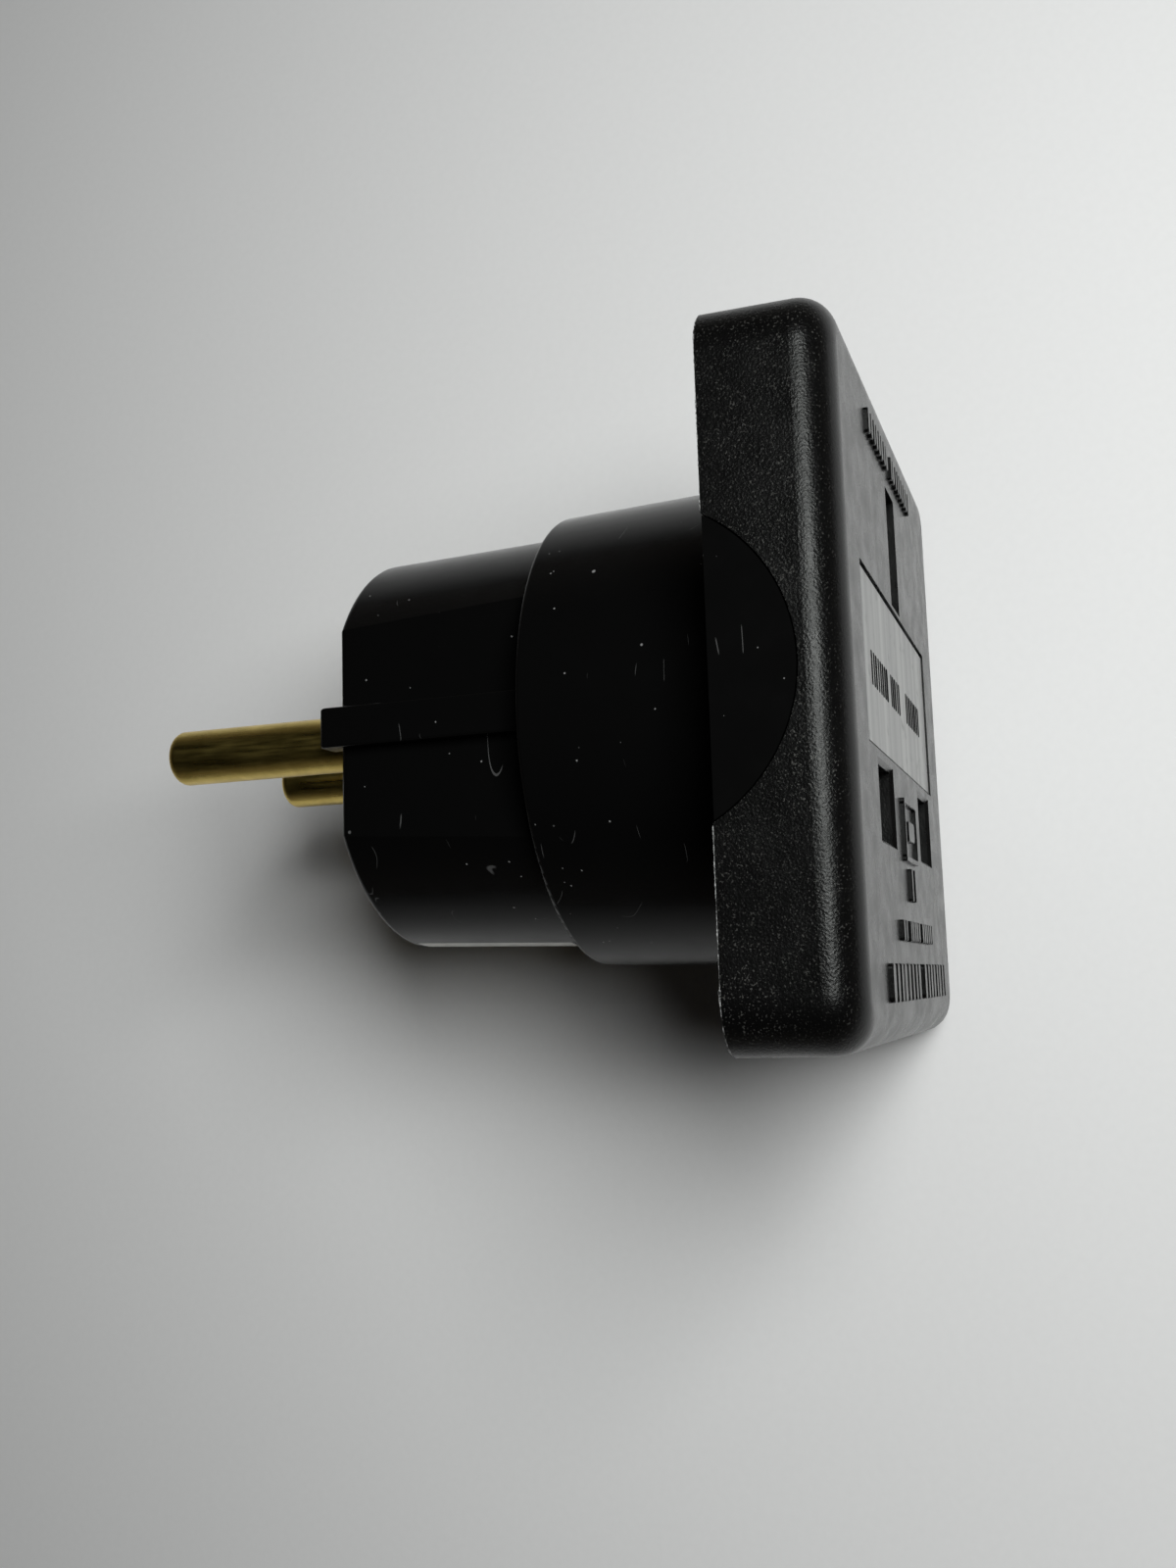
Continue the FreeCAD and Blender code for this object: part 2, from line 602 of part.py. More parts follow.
def shutter():
    """The sliding shutter: two wings over the line and neutral slots, a spine and the earth ramp."""
    wings = [box(WING_X, SHUTTER_Y, on_side(side, *WING_Z)) for side in SIDES]
    bar_half = WING_Z[0] + ROOT
    bar = box((WING_X[0], WING_X[0] + BAR_WIDTH), SHUTTER_Y, (-bar_half, bar_half))
    spine = box((WING_X[0] + ROOT, RAMP_START_X), SHUTTER_Y, (-SPINE_HALF, SPINE_HALF))
    under_x = RAMP_START_X - RAMP_THICK
    slope = [(under_x, SHUTTER_Y[0]), (RAMP_START_X, SHUTTER_Y[0]), RAMP_END,
             (RAMP_END[0] - RAMP_THICK, RAMP_END[1]), (under_x, SHUTTER_Y[1])]
    ramp = polygon_prism(slope, "z", -RAMP_HALF, 2 * RAMP_HALF)
    return wings[0].fuse([wings[1], bar, spine, ramp]).removeSplitter()


def shutter_spring():
    """A coil spring along X between the cover's stop and the shutter."""
    length = WING_X[0] - SPRING_STOP_X - 2 * (SPRING_WIRE_R + SPRING_SLACK)
    helix = Part.makeHelix(length / SPRING_COILS, length, SPRING_R)
    start = Vector(SPRING_R, 0, 0)
    ring = Part.Wire(Part.makeCircle(SPRING_WIRE_R, start, Y_AXIS))
    coil = Part.Wire(helix.Edges).makePipeShell([ring], True, True)
    coil.rotate(ORIGIN, Y_AXIS, 90)
    coil.translate(Vector(SPRING_STOP_X + SPRING_WIRE_R + SPRING_SLACK, SPRING_Y, 0))
    return coil


def shutter_retainer():
    """The plate behind the shutter, open where the British pins pass."""
    plate = rounded_plate(RETAINER_HALF_X, RETAINER_HALF_Z, RETAINER_CORNER_R, RETAINER_Y)
    y = past(RETAINER_Y)
    x = [LINE_X + way * (LINE_SLOT[0] / 2 + WINDOW_GAP) for way in (-1, 1)]
    z = [LINE_Z + way * (LINE_SLOT[1] / 2 + WINDOW_GAP) for way in (-1, 1)]
    cuts = [box(x, y, on_side(side, *z)) for side in SIDES]
    earth_x = (RAMP_START_X - RAMP_THICK - SHUTTER_TRAVEL - ROOT, EARTH_X + EARTH_SLOT[0] / 2 + ROOT)
    cuts.append(box(earth_x, y, (-EARTH_WINDOW_HALF, EARTH_WINDOW_HALF)))
    cuts += [round_bar(RETAINER_HOLE_R, y, x, z) for x, z in POSTS]
    return plate.cut(cuts)


def retainer_screw(x, z):
    return pan_screw(x, z, RETAINER_Y[1], RETAINER_SCREW_HEAD, RETAINER_SCREW_R, RETAINER_SCREW_TIP_Y, -1)


def sunk_cone(x, z, gap=0.0):
    """A countersunk head's cone, or with a gap the seat for it, open past the flange's back."""
    slope = (SUNK_HEAD_R - CORNER_SCREW_R) / SUNK_HEAD_DEPTH
    top = FLANGE[1] - SUNK_BELOW
    rise = SUNK_BELOW * 2 if gap else 0
    return Part.makeCone(CORNER_SCREW_R + gap, SUNK_HEAD_R + gap + slope * rise,
                         SUNK_HEAD_DEPTH + rise, Vector(x, top - SUNK_HEAD_DEPTH, z), Y_AXIS)


def assembly_screw(x, z):
    """A countersunk screw from the flange's back into one corner pillar."""
    top = FLANGE[1] - SUNK_BELOW
    root_y = top - SUNK_HEAD_DEPTH
    shank = screw_shank(x, z, root_y, CORNER_SCREW_R, CORNER_SCREW_TIP_Y, -1)
    screw = sunk_cone(x, z).fuse(shank)
    head = (SUNK_HEAD_R, SUNK_HEAD_DEPTH)
    return screw.cut(cross_recess(x, z, top, head, -1)).removeSplitter()


NODES = {
    "front_cover": front_cover(),
    "rear_housing": rear_housing(),
    "rating_label": rating_label(),
    "line_pin": plug_pin(1),
    "neutral_pin": plug_pin(-1),
    "line_contact": line_contact(1),
    "neutral_contact": line_contact(-1),
    "earth_contact": earth_contact(),
    "line_jaw_spring": line_jaw_spring(1),
    "neutral_jaw_spring": line_jaw_spring(-1),
    "earth_jaw_spring": earth_jaw_spring(),
    "line_busbar": busbar(1),
    "neutral_busbar": busbar(-1),
    "terminal_screws": [terminal_screw(side) for side in SIDES],
    "terminal_washers": [terminal_washer(side) for side in SIDES],
    "contact_carrier": contact_carrier(),
    "earth_bridge": earth_bridge(),
    "earth_clip_upper": earth_clip(1),
    "earth_clip_lower": earth_clip(-1),
    "earth_rivets": earth_rivets(),
    "shutter": shutter(),
    "shutter_spring": shutter_spring(),
    "shutter_retainer": shutter_retainer(),
    "retainer_screws": [retainer_screw(x, z) for x, z in POSTS],
    "assembly_screws": [assembly_screw(x, z) for x, z in CORNERS],
}

os.makedirs("parts", exist_ok=True)
for name, shape in NODES.items():
    solids = []
    for piece in shape if isinstance(shape, list) else [shape]:
        solids += piece.Solids
    if not solids or not all(s.isValid() and s.isClosed() for s in solids):
        raise RuntimeError("open or invalid solid in " + name)
    whole = solids[0] if len(solids) == 1 else Part.makeCompound(solids)
    whole.exportStep(os.path.join("parts", name + ".step"))
    print(f"{name:20s} {len(solids)} solid(s) {whole.Volume:9.1f} mm3")
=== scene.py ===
"""Looks for the travel plug adapter: British socket face on a two-pin continental plug.

Everything is in metres in the CAD frame: +Y runs from the socket face to the pin tips, +Z is up as
the adapter stands on the cover's lower side, and +X is the cover's side nearest the earth slot.
The materials, the marks and the flash are written in millimetres.
"""

import json
import math
import random

import bmesh
import bpy
from mathutils import Matrix, Vector


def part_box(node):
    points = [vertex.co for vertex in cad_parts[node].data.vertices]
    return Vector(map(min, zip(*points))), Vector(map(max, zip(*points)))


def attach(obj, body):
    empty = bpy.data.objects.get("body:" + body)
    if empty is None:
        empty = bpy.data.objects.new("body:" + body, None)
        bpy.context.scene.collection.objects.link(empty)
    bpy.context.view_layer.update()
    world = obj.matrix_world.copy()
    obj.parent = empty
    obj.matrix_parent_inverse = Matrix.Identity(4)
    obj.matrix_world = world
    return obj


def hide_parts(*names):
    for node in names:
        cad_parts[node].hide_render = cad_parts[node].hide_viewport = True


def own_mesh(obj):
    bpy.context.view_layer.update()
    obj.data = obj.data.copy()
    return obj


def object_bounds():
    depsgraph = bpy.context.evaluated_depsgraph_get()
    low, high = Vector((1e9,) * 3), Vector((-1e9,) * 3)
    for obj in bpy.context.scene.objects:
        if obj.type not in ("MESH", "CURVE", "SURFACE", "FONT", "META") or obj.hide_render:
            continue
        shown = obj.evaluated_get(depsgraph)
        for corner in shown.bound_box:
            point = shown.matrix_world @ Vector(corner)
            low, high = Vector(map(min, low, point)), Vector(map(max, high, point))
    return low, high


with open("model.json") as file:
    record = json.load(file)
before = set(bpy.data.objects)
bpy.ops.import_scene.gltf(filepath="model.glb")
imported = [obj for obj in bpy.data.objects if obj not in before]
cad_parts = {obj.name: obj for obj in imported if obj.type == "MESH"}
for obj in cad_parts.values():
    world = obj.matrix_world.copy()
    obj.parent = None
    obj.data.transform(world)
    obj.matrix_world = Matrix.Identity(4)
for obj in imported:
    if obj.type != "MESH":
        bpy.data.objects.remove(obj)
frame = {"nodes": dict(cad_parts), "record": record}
cad_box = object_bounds()

MM = 0.001
NODES = frame["nodes"]

# ---------------------------------------------------------------- camera, floor and light

CAMERA_AT = Vector((-21.2, -15.4, 122.5)) * MM
CAMERA_AIM = Vector((-2.44, 30.32, -8.53)) * MM
CAMERA_UP = Vector((0.9906, -0.0724, 0.1164))
LENS = 34.38
SENSOR = 36.0
CLIP_NEAR = 0.005
CLIP_FAR = 60.0

FLOOR_RADIUS = 0.36
FLOOR_SIDES = 160
FLOOR_GAP = 0.02 * MM

# The window lights the surfaces and casts the shadow. The ceiling only shows as a reflection.
LAMP_AIM = Vector((0, 0.01, 0))
WINDOW_AT = Vector((0.045, -0.100, 0.215))
WINDOW_SIZE = (0.14, 0.12)
WINDOW_POWER = 0.74
WINDOW_COLOUR = (0.985, 1.0, 0.99)
CEILING_AT = Vector((0.061, -0.092, 0.294))
CEILING_SIZE = (0.16, 0.09)
CEILING_POWER = 0.62
CEILING_COLOUR = (0.96, 1.0, 0.97)
SKY_LOW = (0.86, 0.78, 0.69)
SKY_HIGH = (0.010, 0.009, 0.008)
SKY_LOW_END = 0.02
SKY_HIGH_START = 0.45
SKY_STRENGTH = 0.115


def make_camera():
    """The camera stands close above the adapter and looks down at it."""
    data = bpy.data.cameras.new("camera")
    data.sensor_width = SENSOR
    data.lens = LENS
    data.clip_start = CLIP_NEAR
    data.clip_end = CLIP_FAR
    camera = bpy.data.objects.new("camera", data)
    forward = (CAMERA_AIM - CAMERA_AT).normalized()
    right = forward.cross(CAMERA_UP).normalized()
    up = right.cross(forward)
    camera.matrix_world = Matrix.Translation(CAMERA_AT) @ Matrix(
        (right, up, -forward)).transposed().to_4x4()
    bpy.context.scene.collection.objects.link(camera)
    bpy.context.scene.camera = camera


def make_area(name, at, size, power, colour):
    """A soft rectangular lamp that faces the adapter and isn't itself in view."""
    data = bpy.data.lights.new(name, "AREA")
    data.shape = "RECTANGLE"
    data.size, data.size_y = size
    data.energy = power
    data.color = colour
    lamp = bpy.data.objects.new(name, data)
    lamp.location = at
    lamp.rotation_euler = (LAMP_AIM - at).to_track_quat("-Z", "Y").to_euler()
    lamp.visible_camera = False
    bpy.context.scene.collection.objects.link(lamp)
    return lamp


def make_sky():
    """A pale horizon under a dim ceiling."""
    world = bpy.data.worlds.new("room")
    bpy.context.scene.world = world
    world.use_nodes = True
    tree = world.node_tree
    coords = tree.nodes.new("ShaderNodeTexCoord")
    split = tree.nodes.new("ShaderNodeSeparateXYZ")
    ramp = tree.nodes.new("ShaderNodeValToRGB")
    background = tree.nodes["Background"]
    ramp.color_ramp.elements[0].position = SKY_LOW_END
    ramp.color_ramp.elements[0].color = (*SKY_LOW, 1)
    ramp.color_ramp.elements[1].position = SKY_HIGH_START
    ramp.color_ramp.elements[1].color = (*SKY_HIGH, 1)
    tree.links.new(coords.outputs["Generated"], split.inputs[0])
    tree.links.new(split.outputs["Z"], ramp.inputs[0])
    tree.links.new(ramp.outputs[0], background.inputs["Color"])
    background.inputs["Strength"].default_value = SKY_STRENGTH


# ---------------------------------------------------------------- materials

# The middle of a noise's values, where nearly all of them lie
SPREAD = (0.3, 0.7)
# Depths between which the finish of the cover's flat face gives way to that of its sides
GRAIN_CHANGE = (0.2, 1.2)
SHEEN_CHANGE = (0.1, 0.9)
# Softness of a speck's edge, and how sharply specks and hairs are thinned out
SPECK_CORE = 0.7
SPECK_CUT = 0.02
HAIR_PATCH = 0.9
HAIR_CUT = 0.05


class Shader:
    """A Principled material and the few node chains that the finishes below are made from.

    Textures run in millimetres of the object's own space, so that grain has a real size.
    """

    def __init__(self, name, colour, roughness, metallic=0.0, specular=0.5):
        self.material = bpy.data.materials.new(name)
        self.material.use_nodes = True
        self.tree = self.material.node_tree
        self.bsdf = self.tree.nodes["Principled BSDF"]
        self.bsdf.inputs["Base Color"].default_value = (*colour, 1)
        self.bsdf.inputs["Roughness"].default_value = roughness
        self.bsdf.inputs["Metallic"].default_value = metallic
        self.bsdf.inputs["Specular IOR Level"].default_value = specular
        self.material.diffuse_color = (*colour, 1)
        self.coords = self.new("ShaderNodeTexCoord").outputs["Object"]
        self.normal = None

    def new(self, kind):
        return self.tree.nodes.new(kind)

    def link(self, source, target):
        if hasattr(source, "links"):
            self.tree.links.new(source, target)
        else:
            target.default_value = source

    def space(self, stretch=(1, 1, 1)):
        """Object space in millimetres, with each axis stretched by its own factor."""
        mapping = self.new("ShaderNodeMapping")
        mapping.inputs["Scale"].default_value = [1 / (MM * s) for s in stretch]
        self.link(self.coords, mapping.inputs["Vector"])
        return mapping.outputs["Vector"]

    def noise(self, size, detail=2.0, stretch=(1, 1, 1), distortion=0.0):
        """Noise whose features are about size millimetres across."""
        node = self.new("ShaderNodeTexNoise")
        node.inputs["Scale"].default_value = 1 / size
        node.inputs["Detail"].default_value = detail
        node.inputs["Distortion"].default_value = distortion
        self.link(self.space(stretch), node.inputs["Vector"])
        return node.outputs["Fac"]

    def cells(self, size, output="Distance"):
        """Voronoi cells about size millimetres across."""
        node = self.new("ShaderNodeTexVoronoi")
        node.inputs["Scale"].default_value = 1 / size
        self.link(self.space(), node.inputs["Vector"])
        return node.outputs[output]

    def ramp(self, source, low, high, from_value=0.0, to_value=1.0):
        """source between low and high, mapped to from_value and to_value and held outside."""
        node = self.new("ShaderNodeMapRange")
        node.inputs["From Min"].default_value = low
        node.inputs["From Max"].default_value = high
        node.inputs["To Min"].default_value = from_value
        node.inputs["To Max"].default_value = to_value
        self.link(source, node.inputs["Value"])
        return node.outputs["Result"]

    def math(self, operation, a, b):
        node = self.new("ShaderNodeMath")
        node.operation = operation
        self.link(a, node.inputs[0])
        self.link(b, node.inputs[1])
        return node.outputs[0]

    def mix(self, factor, a, b):
        """Colour a where factor is 0 and b where it is 1."""
        node = self.new("ShaderNodeMix")
        node.data_type = "RGBA"
        self.link(factor, node.inputs["Factor"])
        self.link(a, node.inputs["A"])
        self.link(b, node.inputs["B"])
        return node.outputs["Result"]

    def depth_ramp(self, low, high, from_value=0.0, to_value=1.0):
        """A value that changes between two depths, in millimetres along Y."""
        split = self.new("ShaderNodeSeparateXYZ")
        self.link(self.space(), split.inputs[0])
        return self.ramp(split.outputs["Y"], low, high, from_value, to_value)

    def bump(self, height, strength, depth):
        """Adds relief of about depth millimetres on top of any that is there."""
        node = self.new("ShaderNodeBump")
        node.inputs["Strength"].default_value = strength
        node.inputs["Distance"].default_value = depth * MM
        self.link(height, node.inputs["Height"])
        if self.normal:
            self.link(self.normal, node.inputs["Normal"])
        self.normal = node.outputs["Normal"]
        self.link(self.normal, self.bsdf.inputs["Normal"])

    def colour(self, source):
        self.link(source, self.bsdf.inputs["Base Color"])

    def roughness(self, source):
        self.link(source, self.bsdf.inputs["Roughness"])

    def specks(self, spacing, radius, share):
        """A mask of round dust specks: one in share of the cells holds one."""
        reach = radius / spacing
        near = self.ramp(self.cells(spacing), reach * SPECK_CORE, reach, 1, 0)
        split = self.new("ShaderNodeSeparateColor")
        self.link(self.cells(spacing, "Color"), split.inputs[0])
        chosen = self.ramp(split.outputs[0], 1 - share, 1 - share + SPECK_CUT)
        return self.math("MULTIPLY", near, chosen)

    def hairs(self, size, width, cover, stretch):
        """A mask of short thin lines, such as hair scratches, drawn out along one axis."""
        from_middle = self.math("SUBTRACT", self.noise(size, 0.0, stretch), 0.5)
        line = self.ramp(self.math("ABSOLUTE", from_middle, 0), width, width * 2, 1, 0)
        patches = self.noise(size * HAIR_PATCH, 0.0)
        chosen = self.ramp(patches, 1 - cover, 1 - cover + HAIR_CUT)
        return self.math("MULTIPLY", line, chosen)


def rgb(value, tint=(1, 1, 1)):
    return (value * tint[0], value * tint[1], value * tint[2], 1)


def grained_plastic(name, dark=0.0022, bright=0.055):
    """Satin black with the fine pits of a spark-eroded mould, finer on the flat face, and painted
    glints: bright flecks in the sides' colour that stand for light caught by the grain.
    """
    s = Shader(name, (dark, dark, dark), roughness=0.40, specular=0.22)
    on_side = s.depth_ramp(*GRAIN_CHANGE)
    grain = s.noise(0.15, detail=3.0)
    relief = s.math("ADD", grain, s.math("MULTIPLY", s.cells(0.21), 0.6))
    relief = s.math("MULTIPLY", relief, s.depth_ramp(*GRAIN_CHANGE, 0.25, 1.0))
    s.bump(relief, strength=0.7, depth=0.03)
    # Painted glints: bright flecks in the colour of the sides only, standing for light caught by
    # the grain's facets.
    painted_glints = s.ramp(s.noise(0.16, detail=1.0), 0.62, 0.72)
    cloud = s.ramp(s.noise(4.0, detail=3.0), *SPREAD, 0.3, 1.0)
    share = s.math("MULTIPLY", s.math("MULTIPLY", painted_glints, cloud), on_side)
    tone_with_painted_light = s.mix(share, rgb(dark), rgb(bright, (1, 1, 0.93)))
    dust = s.specks(spacing=3.4, radius=0.12, share=0.14)
    s.colour(s.mix(dust, tone_with_painted_light, rgb(0.24)))
    s.roughness(s.math("ADD", s.ramp(s.noise(2.5, detail=3.0), *SPREAD, -0.04, 0.05),
                       s.depth_ramp(*SHEEN_CHANGE, 0.27, 0.29)))
    return s.material


def smooth_plastic(name, dark=0.0025):
    """Deep glossy black with dust, faint handling marks and hair scratches."""
    s = Shader(name, (dark, dark, dark), roughness=0.17, specular=0.11)
    fine_dust = s.specks(spacing=1.1, radius=0.09, share=0.30)
    dust = s.math("MAXIMUM", fine_dust, s.specks(spacing=3.6, radius=0.17, share=0.30))
    hairs = s.hairs(3.2, width=0.0022, cover=0.33, stretch=(7, 1, 1))
    marks = s.math("MAXIMUM", dust, s.math("MULTIPLY", hairs, 0.30))
    s.colour(s.mix(marks, rgb(dark), rgb(0.19)))
    s.roughness(s.ramp(s.noise(3.0, detail=4.0), *SPREAD, 0.14, 0.23))
    s.bump(s.noise(1.6), strength=0.12, depth=0.008)
    s.bump(s.noise(0.2), strength=0.10, depth=0.004)
    return s.material


def flash_plastic_painted_highlight(name):
    """Flash left along a parting line: the same black, with pale patches painted in as light
    catching the ragged ridge.
    """
    s = Shader(name, (0.03, 0.03, 0.03), roughness=0.35)
    # Painted highlight: pale patches in the colour that stand for light catching the ragged ridge.
    s.colour(s.mix(s.ramp(s.noise(0.35, detail=3.0), 0.45, 0.62), rgb(0.01), rgb(0.30)))
    s.bump(s.noise(0.1), strength=0.5, depth=0.03)
    return s.material


def foil(name):
    """Silver label foil with small smudges, and bands of sheen painted into its colour as lighter
    and darker stripes that also ripple its roughness and relief.
    """
    s = Shader(name, (0.42, 0.425, 0.42), roughness=0.36, metallic=0.75)
    ripples_and_painted_sheen = s.noise(2.4, detail=1.0, stretch=(60, 1, 1))
    smudge = s.ramp(s.noise(1.8, detail=4.0), 0.60, 0.72)
    # The bands' lighter and darker stripes in the colour are painted sheen; the smudges are dirt.
    tone_with_painted_light = s.mix(s.ramp(ripples_and_painted_sheen, 0.38, 0.62), rgb(0.20), rgb(0.42, (1, 1.01, 0.99)))
    s.colour(s.mix(s.math("MULTIPLY", smudge, 0.55), tone_with_painted_light, rgb(0.09)))
    s.roughness(s.ramp(ripples_and_painted_sheen, *SPREAD, 0.30, 0.46))
    s.bump(ripples_and_painted_sheen, strength=0.2, depth=0.02)
    s.bump(s.noise(0.12), strength=0.15, depth=0.008)
    return s.material


def metal(name, bright, dull, roughness, drawn=(1, 12, 1), tarnish=0.5):
    """Metal drawn or rolled along one axis, with cloudy tarnish."""
    s = Shader(name, bright, roughness, metallic=1.0)
    lines = s.noise(0.35, detail=3.0, stretch=drawn)
    cloud = s.ramp(s.noise(2.2, detail=4.0, distortion=0.6), 0.35, 0.7)
    s.colour(s.mix(s.math("MULTIPLY", cloud, tarnish), rgb(1, bright), rgb(1, dull)))
    s.roughness(s.ramp(lines, *SPREAD, roughness - 0.05, roughness + 0.08))
    s.bump(lines, strength=0.15, depth=0.008)
    return s.material


def paper(name):
    """The plain pale surface that the adapter stands on."""
    s = Shader(name, (0.80, 0.81, 0.81), roughness=0.7, specular=0.2)
    s.colour(s.mix(s.ramp(s.noise(0.8, detail=4.0), *SPREAD), rgb(0.80), rgb(0.815)))
    s.bump(s.noise(0.5, detail=3.0), strength=0.06, depth=0.01)
    return s.material


def ink(name):
    """Matt black print with a slightly broken surface."""
    s = Shader(name, (0.012, 0.012, 0.012), roughness=0.9, specular=0.0)
    s.colour(s.mix(s.ramp(s.noise(0.3, detail=3.0), 0.5, 0.8), rgb(0.012), rgb(0.05)))
    s.bump(s.noise(0.1), strength=0.2, depth=0.01)
    return s.material


FINISHES = {
    "cover_plastic": grained_plastic("grained_black"),
    "housing_plastic": smooth_plastic("smooth_black"),
    "label_foil": foil("silver_foil"),
    "pin_brass": metal("pin_brass", (0.84, 0.64, 0.19), (0.60, 0.44, 0.11), 0.30, tarnish=0.7),
    "contact_brass": metal("strip_brass", (0.74, 0.56, 0.27), (0.45, 0.30, 0.12), 0.32),
    "plated_strip": metal("nickel_strip", (0.62, 0.61, 0.58), (0.34, 0.33, 0.31), 0.34),
    "spring_steel": metal("spring_steel", (0.52, 0.52, 0.53), (0.30, 0.29, 0.28), 0.36),
    "screw_steel": metal("zinc_steel", (0.56, 0.57, 0.60), (0.36, 0.36, 0.36), 0.36,
                         drawn=(1, 1, 1)),
    "carrier_plastic": grained_plastic("carrier_grey", 0.02, 0.05),
    "shutter_plastic": smooth_plastic("shutter_black", 0.006),
}


def paint_nodes():
    """Each CAD node takes the finish of its slot in the record."""
    for part in frame["record"]["subparts"]:
        mesh = NODES[part["node"]].data
        mesh.materials.clear()
        mesh.materials.append(FINISHES[part["material_slot"]])


# ---------------------------------------------------------------- raised marks and print

MARK_HEIGHT = 0.32
MARK_EDGE = 0.08
MARK_CORNER_SHARE = 0.3
INK_HEIGHT = 0.02
INK_EDGE = 0.01
LABEL_SURFACE_Y = 0.15
CORNER_STEPS = 4
BAR_SHARE = (0.45, 0.75)

# Rows of moulded bars: name, x from and to, z from and to, pitch, seed, blank stretches of z
MARK_ROWS = (
    ("marks_top_row", 20.0, 22.0, -11.0, 12.4, 1.3, 3, ((0.0, 1.2),)),
    ("marks_middle_row", -18.5, -16.9, -10.0, 9.2, 1.25, 5, ((-3.6, -2.0), (3.8, 5.2))),
    ("marks_large_row", -23.0, -20.2, -18.0, 16.0, 2.0, 7, ((-3.4, -0.4),)),
)
# A plain box with a block in it and two bars beside it: middle x and z, size along x and z
BADGE_BARS = (
    (-7.4, 0.5, 0.4, 7.0),
    (-12.0, 0.5, 0.4, 7.0),
    (-9.7, -2.8, 4.2, 0.4),
    (-9.7, 3.8, 4.2, 0.4),
    (-9.7, 0.5, 1.6, 3.4),
    (-14.0, 1.6, 2.6, 0.7),
    (-14.0, -0.3, 2.6, 0.7),
)
# The printed row on the label: x from and to, z from and to, pitch, seed
PRINT_ROW = (0.0, 2.6, -12.5, 15.0, 1.1, 11)
PRINT_GAPS = ((-4.0, -1.5), (4.0, 5.6))


def outline(x, z, size_x, size_z, corner):
    """A rounded rectangle centred on (x, z), as a loop of (x, z) points."""
    points = []
    for turn in range(4):
        angle = turn * math.pi / 2
        sign_x = 1 if turn in (0, 3) else -1
        sign_z = 1 if turn in (0, 1) else -1
        for step in range(CORNER_STEPS + 1):
            a = angle + step / CORNER_STEPS * math.pi / 2
            points.append((x + sign_x * (size_x / 2 - corner) + corner * math.cos(a),
                           z + sign_z * (size_z / 2 - corner) + corner * math.sin(a)))
    return points


def loop(bm, points, y):
    return [bm.verts.new((x * MM, y * MM, z * MM)) for x, z in points]


def skin(bm, a, b):
    """Quads between two loops of equal length."""
    count = len(a)
    for i in range(count):
        bm.faces.new((a[i], a[(i + 1) % count], b[(i + 1) % count], b[i]))


def bar(bm, x, z, size_x, size_z, base_y, proud, edge):
    """A rounded bar that stands proud of a face, with a soft outer edge."""
    corner = min(size_x, size_z) * MARK_CORNER_SHARE
    rings = [
        loop(bm, outline(x, z, size_x, size_z, corner), base_y),
        loop(bm, outline(x, z, size_x, size_z, corner), base_y - proud + edge),
        loop(bm, outline(x, z, size_x - edge, size_z - edge, corner), base_y - proud),
    ]
    skin(bm, rings[0], rings[1])
    skin(bm, rings[1], rings[2])
    bm.faces.new(rings[2])


def finish_piece(name, bm, finish, smooth=False):
    """Turns a bmesh into a named piece that rides the casing."""
    bmesh.ops.recalc_face_normals(bm, faces=bm.faces)
    mesh = bpy.data.meshes.new(name)
    bm.to_mesh(mesh)
    bm.free()
    mesh.materials.append(finish)
    for face in mesh.polygons:
        face.use_smooth = smooth
    piece = bpy.data.objects.new(name, mesh)
    bpy.context.scene.collection.objects.link(piece)
    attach(piece, "casing")
    return piece


def bar_row(bm, x_low, x_high, z_low, z_high, pitch, seed, base_y, proud, edge, gaps):
    """A row of upright bars of mixed widths along Z, with blank gaps."""
    rng = random.Random(seed)
    z = z_low
    while z < z_high - pitch / 2:
        size_z = pitch * rng.uniform(*BAR_SHARE)
        if not any(low <= z <= high for low, high in gaps):
            bar(bm, (x_low + x_high) / 2, z + size_z / 2, x_high - x_low, size_z,
                base_y, proud, edge)
        z += pitch


def make_marks():
    """Plain generic relief in the places where such a face carries moulded marks."""
    for name, *row, gaps in MARK_ROWS:
        bm = bmesh.new()
        bar_row(bm, *row, 0, MARK_HEIGHT, MARK_EDGE, gaps)
        finish_piece(name, bm, FINISHES["cover_plastic"])
    bm = bmesh.new()
    for placed in BADGE_BARS:
        bar(bm, *placed, 0, MARK_HEIGHT, MARK_EDGE)
    finish_piece("marks_badge", bm, FINISHES["cover_plastic"])
    bm = bmesh.new()
    bar_row(bm, *PRINT_ROW, LABEL_SURFACE_Y, INK_HEIGHT, INK_EDGE, PRINT_GAPS)
    finish_piece("label_print", bm, ink("print_black"))


# ---------------------------------------------------------------- flash on the skirt's rear edge

FLASH_SEED = 21
FLASH_STEP = 0.14
FLASH_LOW = 0.02
FLASH_NICK = 0.20
FLASH_NICK_SPREAD = (0.5, 1)
FLASH_NICK_SHARE = 0.012
FLASH_WIDTH = 0.10
FLASH_OUT = 0.02
FLASH_WANDER = 0.02
FLASH_SETTLE = 0.2
FLASH_LEAST = 0.006
SKIRT_CORNER = 4.0
EAR_HALF_CHORD = 10.75
ON_SIDE = 0.01


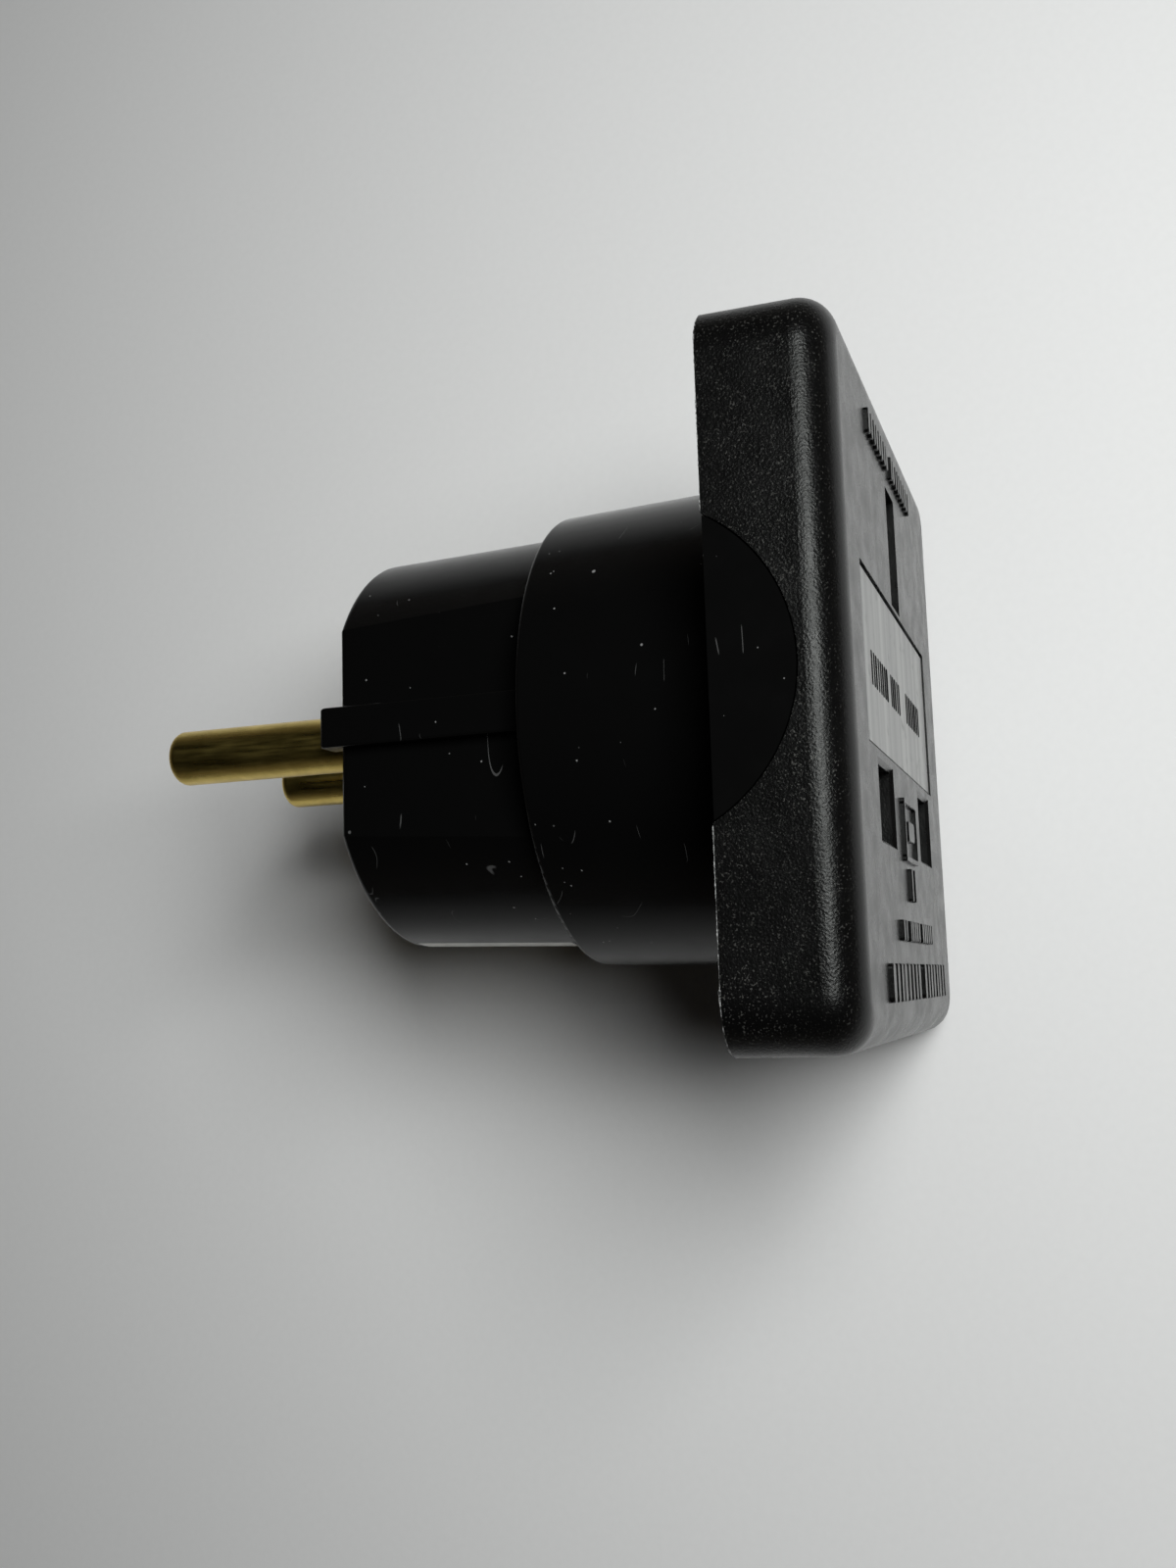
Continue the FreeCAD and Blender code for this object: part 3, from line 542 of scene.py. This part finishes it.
def skirt_path():
    """Points round the outer edge of the skirt, with the way out at each, broken at the ears."""
    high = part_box("front_cover")[1]
    half = high.x / MM
    straight = half - SKIRT_CORNER
    points = []
    for turn in range(4):
        angle = turn * math.pi / 2
        along = Vector((-math.sin(angle), math.cos(angle)))
        out = Vector((math.cos(angle), math.sin(angle)))
        for step in range(int(2 * straight / FLASH_STEP) + 1):
            t = -straight + step * FLASH_STEP
            points.append((out * half + along * t, out))
        corner = (out + along) * straight
        for step in range(1, int(SKIRT_CORNER * math.pi / 2 / FLASH_STEP)):
            a = angle + step * FLASH_STEP / SKIRT_CORNER
            way = Vector((math.cos(a), math.sin(a)))
            points.append((corner + way * SKIRT_CORNER, way))
    pieces, piece = [], []
    for point, way in points:
        if abs(point.y) > half - ON_SIDE and abs(point.x) < EAR_HALF_CHORD:
            if piece:
                pieces.append(piece)
            piece = []
        else:
            piece.append((point, way))
    pieces.append(piece)
    return pieces, high.y / MM


def make_flash():
    """A thin ragged ridge where the two halves of the cover's mould met."""
    rng = random.Random(FLASH_SEED)
    bm = bmesh.new()
    pieces, rim_y = skirt_path()
    for piece in pieces:
        height = FLASH_LOW
        last = None
        for point, way in piece:
            settle = (FLASH_LOW - height) * FLASH_SETTLE
            height += rng.uniform(-FLASH_WANDER, FLASH_WANDER) + settle
            if rng.random() < FLASH_NICK_SHARE:
                height = FLASH_NICK * rng.uniform(*FLASH_NICK_SPREAD)
            rise = max(FLASH_LEAST, height)
            edge = point + way * min(FLASH_OUT, rise / 2)
            inner = point - way * FLASH_WIDTH
            ring = [bm.verts.new((x * MM, y * MM, z * MM)) for x, y, z in (
                (point.x, rim_y - rise / 2, point.y), (edge.x, rim_y + rise, edge.y),
                (inner.x, rim_y, inner.y))]
            if last:
                bm.faces.new((last[0], last[1], ring[1], ring[0]))
                bm.faces.new((last[1], last[2], ring[2], ring[1]))
            last = ring
    finish_piece("cover_flash", bm, flash_plastic_painted_highlight("flash_black_painted_highlight"))


# ---------------------------------------------------------------- shutter spring

SPRING_WIRE = 0.18 * MM
SPRING_TURNS = 9
SPRING_STEPS = 36
SPRING_SIDES = 10
SPRING_END_RISE = 0.042


def coil_rise(share):
    """How far along the spring its wire is: one close turn at each end and open turns between."""
    end = 1 / SPRING_TURNS
    close = SPRING_END_RISE
    if share < end:
        return close * share / end
    if share > 1 - end:
        return 1 - close * (1 - share) / end
    return close + (1 - 2 * close) * (share - end) / (1 - 2 * end)


def make_spring():
    """The shutter's return spring, wound as a coil."""
    low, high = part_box("shutter_spring")
    centre = (low + high) / 2
    coil_r = (high.y - low.y) / 2 - SPRING_WIRE
    run = high.x - low.x - 2 * SPRING_WIRE
    steps = SPRING_TURNS * SPRING_STEPS
    path = []
    for step in range(steps + 1):
        angle = step / SPRING_STEPS * 2 * math.pi
        out = Vector((0, math.cos(angle), math.sin(angle)))
        x = low.x + SPRING_WIRE + run * coil_rise(step / steps)
        path.append((Vector((x, centre.y, centre.z)) + out * coil_r, out))
    bm = bmesh.new()
    rings = []
    for step, (point, out) in enumerate(path):
        along = (path[min(step + 1, steps)][0] - path[max(step - 1, 0)][0]).normalized()
        side = along.cross(out).normalized()
        ring = []
        for corner in range(SPRING_SIDES):
            a = corner / SPRING_SIDES * 2 * math.pi
            way = out * math.cos(a) + side * math.sin(a)
            ring.append(bm.verts.new(point + way * SPRING_WIRE))
        if rings:
            skin(bm, rings[-1], ring)
        rings.append(ring)
    bm.faces.new(rings[0])
    bm.faces.new(rings[-1])
    piece = finish_piece("spring_coil", bm, FINISHES["spring_steel"], smooth=True)
    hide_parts("shutter_spring")
    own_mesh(piece)


def make_floor():
    """A round white table top just under the adapter."""
    bm = bmesh.new()
    bmesh.ops.create_circle(bm, cap_ends=True, segments=FLOOR_SIDES, radius=FLOOR_RADIUS)
    mesh = bpy.data.meshes.new("floor")
    bm.to_mesh(mesh)
    bm.free()
    mesh.materials.append(paper("paper"))
    floor = bpy.data.objects.new("floor", mesh)
    floor.location.z = cad_box[0][2] - FLOOR_GAP
    bpy.context.scene.collection.objects.link(floor)


make_camera()
make_sky()
window = make_area("window", WINDOW_AT, WINDOW_SIZE, WINDOW_POWER, WINDOW_COLOUR)
window.visible_glossy = False
ceiling = make_area("ceiling", CEILING_AT, CEILING_SIZE, CEILING_POWER, CEILING_COLOUR)
ceiling.visible_diffuse = False
make_floor()
paint_nodes()
make_marks()
make_flash()
make_spring()

scene = bpy.context.scene
scene.view_settings.view_transform = "Standard"
scene.view_settings.look = "None"
